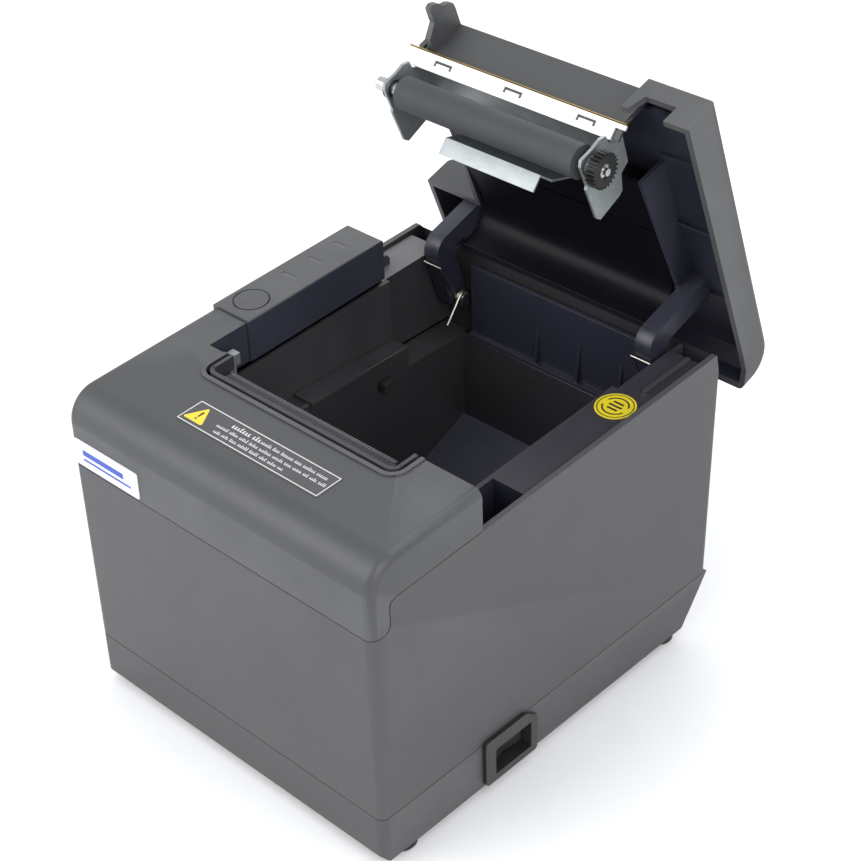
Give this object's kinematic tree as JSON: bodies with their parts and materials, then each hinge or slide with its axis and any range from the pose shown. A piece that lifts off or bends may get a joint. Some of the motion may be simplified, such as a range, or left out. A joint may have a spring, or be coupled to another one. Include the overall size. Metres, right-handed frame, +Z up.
{
  "type": "receipt printer",
  "caption": "Desktop thermal receipt printer with its paper cover swung open, showing the roller, the knife and the hollow for a paper roll",
  "frame": {"origin": "centre of the base of the box round the part as posed, with its paper cover open; z = 0 is the desk under the feet", "axes": "+Z up, +X to the printer's right as seen from its front, -Y out of its front face"},
  "size_m": [0.1468, 0.2038, 0.2259],
  "materials": {
    "shell": "fine grain",
    "dark_shell": "fine grain",
    "grey_plastic": "fine grain",
    "black_plastic": "satin",
    "steel": "brushed",
    "zinc": "zinc plated",
    "spring_wire": "drawn wire",
    "heatsink": "satin",
    "ceramic": "gloss",
    "platen": "ground",
    "foot": "matte",
    "board": "lacquer",
    "lens": "clear",
    "label": "printed film",
    "yellow_label": "printed film"
  },
  "bodies": {
    "case": {"base_case": "shell", "main_case": "shell", "control_panel": "shell", "status_lenses": "lens", "panel_board": "board", "power_bezel": "dark_shell", "rocker_pin": "steel", "rubber_feet": "foot", "case_screws": "steel", "main_board": "board", "board_screws": "steel", "socket_plate": "dark_shell", "power_socket": "black_plastic", "drawer_socket": "black_plastic", "usb_socket": "steel", "network_socket": "black_plastic", "paper_bucket": "dark_shell", "rear_wall": "dark_shell", "near_end_sensor": "dark_shell", "hinge_pins": "steel", "spring_coils": "spring_wire", "mech_sides": "zinc", "mech_bridge": "zinc", "head_pin": "steel", "head_springs": "spring_wire", "spring_seat": "zinc", "cutter_base": "zinc", "cutter_motor": "zinc", "feed_motor": "zinc", "idler_stud": "steel", "latch_plate": "grey_plastic", "right_deck": "dark_shell", "left_deck": "grey_plastic", "round_sticker": "yellow_label"},
    "front": {"front_cover": "shell", "exit_frame": "dark_shell", "paper_comb": "dark_shell", "caution_label": "label", "name_badge": "label"},
    "cover": {"cover_shell": "shell", "cover_liner": "dark_shell", "paper_deflector": "dark_shell", "front_guide": "dark_shell", "platen_bracket": "zinc", "platen_bushings": "black_plastic", "fixed_blade": "steel", "blade_backing": "zinc", "sensor_plate": "zinc", "spring_hooks": "spring_wire"},
    "platen": {"platen_shaft": "steel", "platen_rubber": "platen", "platen_gear": "black_plastic"},
    "button": {"feed_button": "grey_plastic"},
    "rocker": {"power_rocker": "black_plastic"},
    "knife": {"cutter_blade": "steel"},
    "head": {"print_head": "heatsink", "thermal_bar": "ceramic"},
    "idler": {"idler_gear": "black_plastic"},
    "pinion": {"drive_pinion": "black_plastic"},
    "sensor_arm": {"sensor_lever": "black_plastic"}
  },
  "joints": [
    {"name": "cover_hinge", "type": "hinge", "parent": "case", "child": "cover", "pos_m": [0, 0.0674, 0.098], "axis": [1, 0, 0], "range_deg": [0, 72.3]},
    {"name": "platen_spin", "type": "hinge", "parent": "cover", "child": "platen", "pos_m": [0, 0.03344, 0.19948], "axis": [1, 0, 0], "continuous": true},
    {"name": "front_lift", "type": "slide", "parent": "case", "child": "front", "axis": [0, 0, 1], "range_m": [0, 0.06]},
    {"name": "feed_press", "type": "slide", "parent": "case", "child": "button", "axis": [0, 0.045, -0.999], "range_m": [0, 0.001], "stiffness_N_per_m": 700, "springref_m": -0.0003},
    {"name": "power_switch", "type": "hinge", "parent": "case", "child": "rocker", "pos_m": [0.0671, -0.039, 0.0125], "axis": [0, 0, 1], "range_deg": [0, 12]},
    {"name": "knife_slide", "type": "slide", "parent": "case", "child": "knife", "axis": [0, 1, 0], "range_m": [0, 0.009]},
    {"name": "head_rock", "type": "hinge", "parent": "case", "child": "head", "pos_m": [0, -0.0541, 0.084], "axis": [1, 0, 0], "range_deg": [0, 3], "stiffness_Nm_per_rad": 6, "springref_deg": -2.86},
    {"name": "idler_spin", "type": "hinge", "parent": "case", "child": "idler", "pos_m": [0.0494, -0.0492, 0.0824], "axis": [1, 0, 0], "continuous": true},
    {"name": "pinion_spin", "type": "hinge", "parent": "case", "child": "pinion", "pos_m": [0.0494, -0.0492, 0.07015], "axis": [1, 0, 0], "continuous": true},
    {"name": "sensor_press", "type": "slide", "parent": "case", "child": "sensor_arm", "axis": [-1, 0, 0], "range_m": [0, 0.0025], "stiffness_N_per_m": 60, "springref_m": -0.001}
  ],
  "couplings": [
    {"joint": "pinion_spin", "follows": "idler_spin", "ratio": -3}
  ]
}
